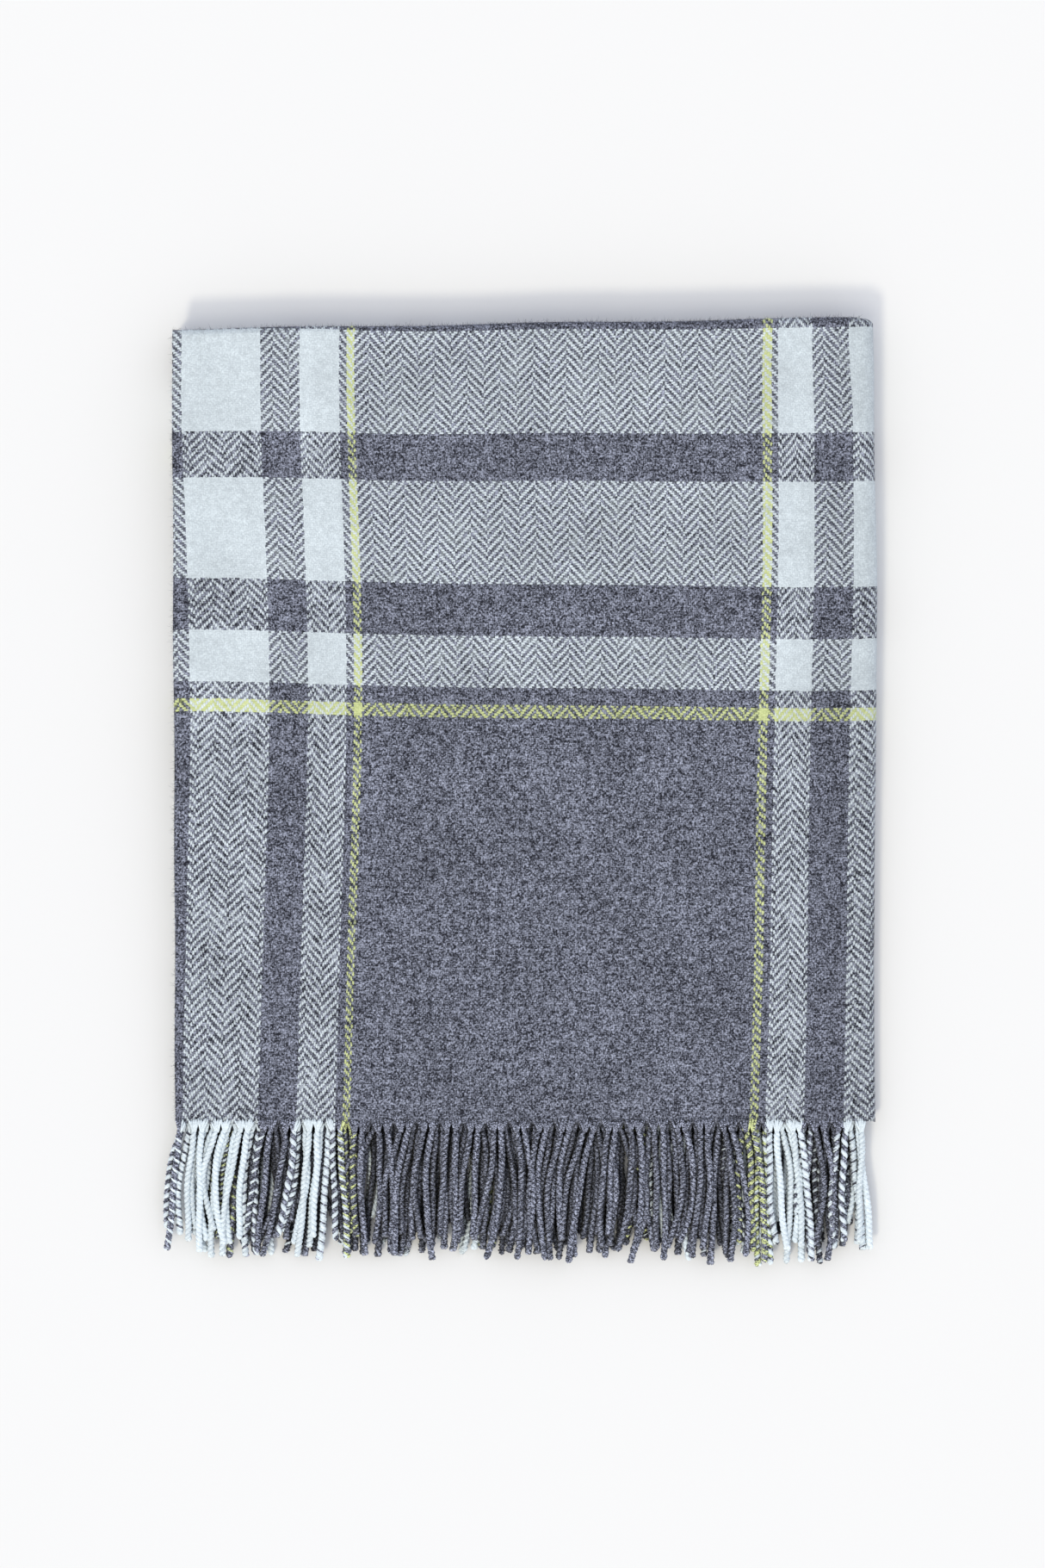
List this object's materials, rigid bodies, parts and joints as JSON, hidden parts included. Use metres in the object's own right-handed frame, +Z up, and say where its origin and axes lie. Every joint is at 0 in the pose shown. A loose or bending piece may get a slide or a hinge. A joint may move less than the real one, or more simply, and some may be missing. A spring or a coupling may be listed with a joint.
{
  "type": "folded throw blanket",
  "caption": "Fringed plaid throw blanket folded flat into a layered rectangle, its twisted tassels lying along one end.",
  "frame": {"origin": "on the surface it rests on, under the middle of its outline", "axes": "+Z up through the stack, +Y towards the folded head, away from the fringe, +X across the width towards the fold that the top panel opens on"},
  "size_m": [0.454, 0.61, 0.0299],
  "materials": {
    "cloth": "brushed herringbone twill, matt",
    "tassel": "two-ply twisted wool yarn, matt"
  },
  "bodies": {
    "bottom_panel": {"bottom_outer_layer": "cloth", "bottom_inner_layer": "cloth", "bottom_inner_return_layer": "cloth", "bottom_outer_return_layer": "cloth", "bottom_outer_head_fold": "cloth", "bottom_inner_head_fold": "cloth", "bottom_middle_fold": "cloth", "bottom_outer_fringe": "tassel", "bottom_inner_fringe": "tassel", "left_fold_outer": "cloth", "left_fold_inner": "cloth", "left_fold_inner_return": "cloth", "left_fold_outer_return": "cloth"},
    "middle_panel": {"middle_outer_layer": "cloth", "middle_inner_layer": "cloth", "middle_inner_return_layer": "cloth", "middle_outer_return_layer": "cloth", "middle_outer_head_fold": "cloth", "middle_inner_head_fold": "cloth", "middle_middle_fold": "cloth", "middle_outer_fringe": "tassel", "middle_inner_fringe": "tassel", "right_fold_outer": "cloth", "right_fold_inner": "cloth", "right_fold_inner_return": "cloth", "right_fold_outer_return": "cloth"},
    "top_panel": {"top_outer_layer": "cloth", "top_inner_layer": "cloth", "top_inner_return_layer": "cloth", "top_outer_return_layer": "cloth", "top_outer_head_fold": "cloth", "top_inner_head_fold": "cloth", "top_middle_fold": "cloth"},
    "top_fringe": {"top_outer_fringe": "tassel", "top_inner_fringe": "tassel"}
  },
  "joints": [
    {"name": "left_fold", "type": "hinge", "parent": "bottom_panel", "child": "middle_panel", "pos_m": [-0.22218, -0.213, 0.00482], "axis": [-0.0097, -0.9999, -0.0097], "range_deg": [0, 178], "deforming": ["left_fold_outer", "left_fold_inner", "left_fold_inner_return", "left_fold_outer_return"]},
    {"name": "right_fold", "type": "hinge", "parent": "middle_panel", "child": "top_panel", "pos_m": [0.22218, -0.213, 0.01018], "axis": [-0.0097, 0.9998, 0.0193], "range_deg": [0, 178], "deforming": ["right_fold_outer", "right_fold_inner", "right_fold_inner_return", "right_fold_outer_return"]},
    {"name": "fringe_lift", "type": "hinge", "parent": "top_panel", "child": "top_fringe", "pos_m": [0, -0.213, 0.0153], "axis": [-1, 0, 0], "range_deg": [0, 90]}
  ]
}
